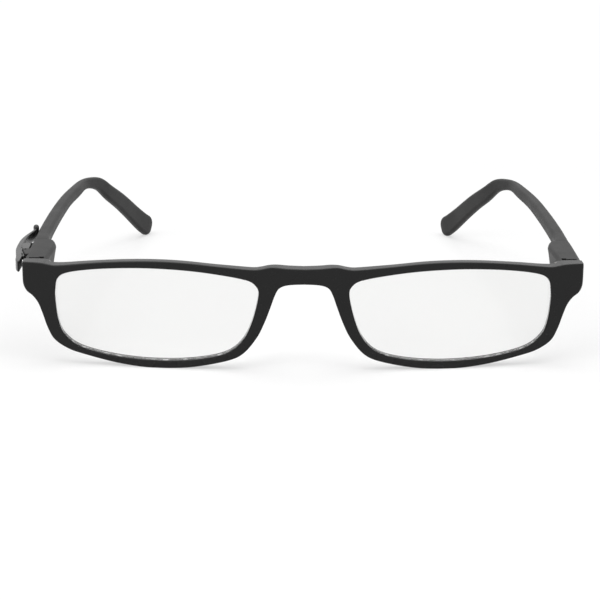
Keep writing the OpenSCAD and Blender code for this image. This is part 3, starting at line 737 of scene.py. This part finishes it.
def moulded_skin_group():
    """The fine, even grain of a moulded surface: how rough it is, and its tiny bumps."""
    group, given, made = new_group(
        "moulded_skin",
        [("Grain per mm", "NodeSocketFloat", 6.0), ("Smoothest", "NodeSocketFloat", 0.3),
         ("Roughest", "NodeSocketFloat", 0.4), ("Bump", "NodeSocketFloat", 0.1)],
        [("Roughness", "NodeSocketFloat"), ("Normal", "NodeSocketVector")],
    )
    nodes, links = group.nodes, group.links
    where = nodes.new("ShaderNodeTexCoord")
    finer = nodes.new("ShaderNodeMath")
    finer.operation = "MULTIPLY"
    finer.inputs[1].default_value = 1 / MM
    grain = nodes.new("ShaderNodeTexNoise")
    grain.inputs["Detail"].default_value = 3
    clouds = nodes.new("ShaderNodeTexNoise")
    clouds.inputs["Scale"].default_value = 160
    clouds.inputs["Detail"].default_value = 4
    spread = nodes.new("ShaderNodeMapRange")
    spread.inputs["From Min"].default_value = 0.3
    spread.inputs["From Max"].default_value = 0.7
    bump = nodes.new("ShaderNodeBump")
    bump.inputs["Distance"].default_value = 0.02 * MM
    links.new(given.outputs["Grain per mm"], finer.inputs[0])
    links.new(where.outputs["Object"], grain.inputs["Vector"])
    links.new(where.outputs["Object"], clouds.inputs["Vector"])
    links.new(finer.outputs[0], grain.inputs["Scale"])
    links.new(clouds.outputs["Fac"], spread.inputs["Value"])
    links.new(given.outputs["Smoothest"], spread.inputs["To Min"])
    links.new(given.outputs["Roughest"], spread.inputs["To Max"])
    links.new(grain.outputs["Fac"], bump.inputs["Height"])
    links.new(given.outputs["Bump"], bump.inputs["Strength"])
    links.new(spread.outputs["Result"], made.inputs["Roughness"])
    links.new(bump.outputs["Normal"], made.inputs["Normal"])
    return group


def patchy_colour_group():
    """A colour that drifts a little over the surface, as dye and handling leave it."""
    group, given, made = new_group(
        "patchy_colour",
        [("Colour", "NodeSocketColor", (0.5, 0.5, 0.5, 1)),
         ("Other colour", "NodeSocketColor", (0.4, 0.4, 0.4, 1)),
         ("Patches per metre", "NodeSocketFloat", 90.0)],
        [("Colour", "NodeSocketColor")],
    )
    nodes, links = group.nodes, group.links
    where = nodes.new("ShaderNodeTexCoord")
    patches = nodes.new("ShaderNodeTexNoise")
    patches.inputs["Detail"].default_value = 5
    blend = nodes.new("ShaderNodeMix")
    blend.data_type = "RGBA"
    links.new(where.outputs["Object"], patches.inputs["Vector"])
    links.new(given.outputs["Patches per metre"], patches.inputs["Scale"])
    links.new(patches.outputs["Fac"], blend.inputs["Factor"])
    links.new(given.outputs["Colour"], blend.inputs["A"])
    links.new(given.outputs["Other colour"], blend.inputs["B"])
    links.new(blend.outputs["Result"], made.inputs["Colour"])
    return group


def new_material(name):
    """A material and its main shader node."""
    material = bpy.data.materials.new(name)
    material.use_nodes = True
    return material, material.node_tree.nodes["Principled BSDF"]


def add_group(material, group, values):
    """A node in a material that uses a node group, with some of its inputs set."""
    node = material.node_tree.nodes.new("ShaderNodeGroup")
    node.node_tree = group
    for label, value in values.items():
        node.inputs[label].default_value = value
    return node


def grey(value, tint=(1, 1, 1)):
    """A grey, or one that leans to a tint, as four numbers."""
    return tuple(value * t for t in tint) + (1,)


def finish_material(name, colours, skin, metallic=0.0, specular=0.5):
    """A surface with drifting colour and fine grain. skin is grain per mm, smoothest, roughest, bump."""
    material, shader = new_material(name)
    links = material.node_tree.links
    shader.inputs["Metallic"].default_value = metallic
    shader.inputs["Specular IOR Level"].default_value = specular
    colour = add_group(material, GROUPS["colour"], {"Colour": colours[0], "Other colour": colours[1]})
    labels = ("Grain per mm", "Smoothest", "Roughest", "Bump")
    grain = add_group(material, GROUPS["skin"], dict(zip(labels, skin)))
    links.new(colour.outputs["Colour"], shader.inputs["Base Color"])
    links.new(grain.outputs["Roughness"], shader.inputs["Roughness"])
    links.new(grain.outputs["Normal"], shader.inputs["Normal"])
    return material


def lens_material():
    """Clear plastic with a pale ground edge, wherever a face doesn't look nearly along Y."""
    material, shader = new_material("clear_lens")
    shader.inputs["Base Color"].default_value = (0.893, 0.894, 0.888, 1)
    shader.inputs["Roughness"].default_value = 0
    shader.inputs["IOR"].default_value = 1.49
    shader.inputs["Transmission Weight"].default_value = 1
    nodes, links = material.node_tree.nodes, material.node_tree.links
    ground = nodes.new("ShaderNodeBsdfPrincipled")
    ground.inputs["Base Color"].default_value = grey(0.5)
    ground.inputs["Roughness"].default_value = 0.8
    shape = nodes.new("ShaderNodeNewGeometry")
    parts = nodes.new("ShaderNodeSeparateXYZ")
    flat = nodes.new("ShaderNodeMath")
    flat.operation = "ABSOLUTE"
    edge = nodes.new("ShaderNodeMath")
    edge.operation = "LESS_THAN"
    edge.inputs[1].default_value = 0.96
    both = nodes.new("ShaderNodeMixShader")
    links.new(shape.outputs["True Normal"], parts.inputs[0])
    links.new(parts.outputs["Y"], flat.inputs[0])
    links.new(flat.outputs[0], edge.inputs[0])
    links.new(edge.outputs[0], both.inputs["Fac"])
    links.new(shader.outputs["BSDF"], both.inputs[1])
    links.new(ground.outputs["BSDF"], both.inputs[2])
    links.new(both.outputs["Shader"], nodes["Material Output"].inputs["Surface"])
    return material


GROUPS = {"skin": moulded_skin_group(), "colour": patchy_colour_group()}
FRAME_BLACK = finish_material(
    "frame_black", [grey(0.007), grey(0.01)], (5, 0.24, 0.3, 0.08), specular=0.22
)
TEMPLE_BLACK = finish_material(
    "temple_black", [grey(0.016, (1, 0.98, 0.96)), grey(0.02)], (5, 0.45, 0.52, 0.15), specular=0.2
)
CLIP_BLACK = finish_material("clip_black", [grey(0.012), grey(0.018)], (7, 0.24, 0.34, 0.12))
NICKEL = finish_material(
    "nickel_silver", [grey(0.5, (1, 0.97, 0.92)), grey(0.42, (1, 0.96, 0.9))], (9, 0.2, 0.35, 0.1),
    metallic=1,
)
STEEL = finish_material("screw_steel", [grey(0.55), grey(0.48)], (9, 0.18, 0.3, 0.1), metallic=1)
WIRE = finish_material("spring_wire", [grey(0.6), grey(0.5)], (12, 0.2, 0.3, 0.1), metallic=1)
BRASS = finish_material(
    "turned_brass", [(0.62, 0.45, 0.2, 1), (0.5, 0.36, 0.16, 1)], (9, 0.22, 0.35, 0.1), metallic=1
)
LENS_CLEAR = lens_material()

NODE_FINISHES = {
    "front_leaf": NICKEL, "hinge_slide": NICKEL, "spring_box": NICKEL, "hinge_screw": STEEL,
    "spring_stop": BRASS, "rod_cap": BRASS,
}


def finish_solids():
    """The solids that show as they are get their metals."""
    finishes = {sided(side, name): m for name, m in NODE_FINISHES.items() for side in (1, -1)}
    finishes["clip_pin"] = STEEL
    finishes["clip_spring"] = WIRE
    for name, material in finishes.items():
        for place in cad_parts[name].material_slots:
            place.material = material


def white_for_camera(nodes, links, plain, white):
    """Mixes a plain shader with white light where the camera, a gloss or a lens looks at it."""
    path = nodes.new("ShaderNodeLightPath")
    seen = nodes.new("ShaderNodeMath")
    seen.operation = "MAXIMUM"
    both = nodes.new("ShaderNodeMath")
    both.operation = "MAXIMUM"
    mix = nodes.new("ShaderNodeMixShader")
    links.new(path.outputs["Is Camera Ray"], seen.inputs[0])
    links.new(path.outputs["Is Glossy Ray"], seen.inputs[1])
    links.new(seen.outputs[0], both.inputs[0])
    links.new(path.outputs["Is Transmission Ray"], both.inputs[1])
    links.new(both.outputs[0], mix.inputs["Fac"])
    links.new(plain, mix.inputs[1])
    links.new(white, mix.inputs[2])
    return mix.outputs["Shader"]


def make_world():
    """A dim room that looks white."""
    world = bpy.data.worlds.new("soft_room")
    bpy.context.scene.world = world
    world.use_nodes = True
    nodes, links = world.node_tree.nodes, world.node_tree.links
    room = nodes["Background"]
    room.inputs["Color"].default_value = grey(1)
    room.inputs["Strength"].default_value = 0.5
    white = nodes.new("ShaderNodeBackground")
    white.inputs["Color"].default_value = grey(1)
    white.inputs["Strength"].default_value = 1
    mixed = white_for_camera(nodes, links, room.outputs["Background"], white.outputs["Background"])
    links.new(mixed, nodes["World Output"].inputs["Surface"])


def make_floor():
    """A white table top that brightens away from the glasses."""
    bm = bmesh.new()
    bmesh.ops.create_grid(bm, x_segments=1, y_segments=1, size=4)
    mesh = bpy.data.meshes.new("floor")
    bm.to_mesh(mesh)
    bm.free()
    floor = bpy.data.objects.new("floor", mesh)
    bpy.context.scene.collection.objects.link(floor)
    material, shader = new_material("white_floor")
    shader.inputs["Base Color"].default_value = grey(0.35)
    shader.inputs["Roughness"].default_value = 0.9
    shader.inputs["Specular IOR Level"].default_value = 0
    nodes, links = material.node_tree.nodes, material.node_tree.links
    glow = nodes.new("ShaderNodeEmission")
    glow.inputs["Color"].default_value = grey(1)
    where = nodes.new("ShaderNodeTexCoord")
    far = nodes.new("ShaderNodeVectorMath")
    far.operation = "LENGTH"
    brighter = nodes.new("ShaderNodeMapRange")
    brighter.inputs["From Min"].default_value = 0.25
    brighter.inputs["From Max"].default_value = 1.2
    brighter.inputs["To Min"].default_value = 0.56
    brighter.inputs["To Max"].default_value = 0.85
    lit = nodes.new("ShaderNodeAddShader")
    links.new(where.outputs["Object"], far.inputs[0])
    links.new(far.outputs["Value"], brighter.inputs["Value"])
    links.new(brighter.outputs["Result"], glow.inputs["Strength"])
    links.new(shader.outputs["BSDF"], lit.inputs[0])
    links.new(glow.outputs["Emission"], lit.inputs[1])
    mixed = white_for_camera(nodes, links, shader.outputs["BSDF"], lit.outputs["Shader"])
    links.new(mixed, nodes["Material Output"].inputs["Surface"])
    mesh.materials.append(material)


def make_lamp(name, place, target, size, watts):
    """A square lamp at a place, turned to a target."""
    lamp = bpy.data.lights.new(name, "AREA")
    lamp.shape = "SQUARE"
    lamp.size = size
    lamp.energy = watts
    thing = bpy.data.objects.new(name, lamp)
    bpy.context.scene.collection.objects.link(thing)
    thing.location = place
    thing.rotation_euler = (Vector(target) - Vector(place)).to_track_quat("-Z", "Y").to_euler()


def make_camera():
    """The photograph's camera: 430 mm in front of the bridge, looking down by 16.7 degrees."""
    place = Vector((-8.1, -430, 147.2)) * MM
    yaw, pitch, roll = (math.radians(a) for a in (0.95, 16.67, 0.45))
    ahead = Vector((math.sin(yaw) * math.cos(pitch), math.cos(yaw) * math.cos(pitch), -math.sin(pitch)))
    level = Vector((math.cos(yaw), -math.sin(yaw), 0))
    above = level.cross(ahead)
    right = level * math.cos(roll) + above * math.sin(roll)
    up = above * math.cos(roll) - level * math.sin(roll)
    lens = bpy.data.cameras.new("camera")
    lens.lens = 109.56
    lens.sensor_width = 36
    lens.clip_start = 0.01
    camera = bpy.data.objects.new("camera", lens)
    bpy.context.scene.collection.objects.link(camera)
    turn = Matrix((right, up, -ahead)).transposed().to_4x4()
    camera.matrix_world = Matrix.Translation(place) @ turn
    bpy.context.scene.camera = camera


make_camera()
make_world()
make_floor()
make_lamp("above", (0, 0.05, 0.8), (0, 0.05, 0), 0.9, 6)
make_lamp("front_left", (-0.5, -0.6, 0.6), (0, 0, 0.01), 0.5, 2)
for side in (1, -1):
    make_lamp(sided(side, "side"), (side * 0.75, -0.3, 0.25), (side * 0.06, 0.01, 0.02), 0.3, 1.2)

finish_solids()
make_front(FRAME_BLACK)
for side in (1, -1):
    make_nose_pad(side, FRAME_BLACK)
    make_lens(side, LENS_CLEAR)
    make_temple(side, TEMPLE_BLACK)
    make_hinge_coil(side, WIRE)
make_clip(CLIP_BLACK)

bpy.context.scene.view_settings.view_transform = "Standard"
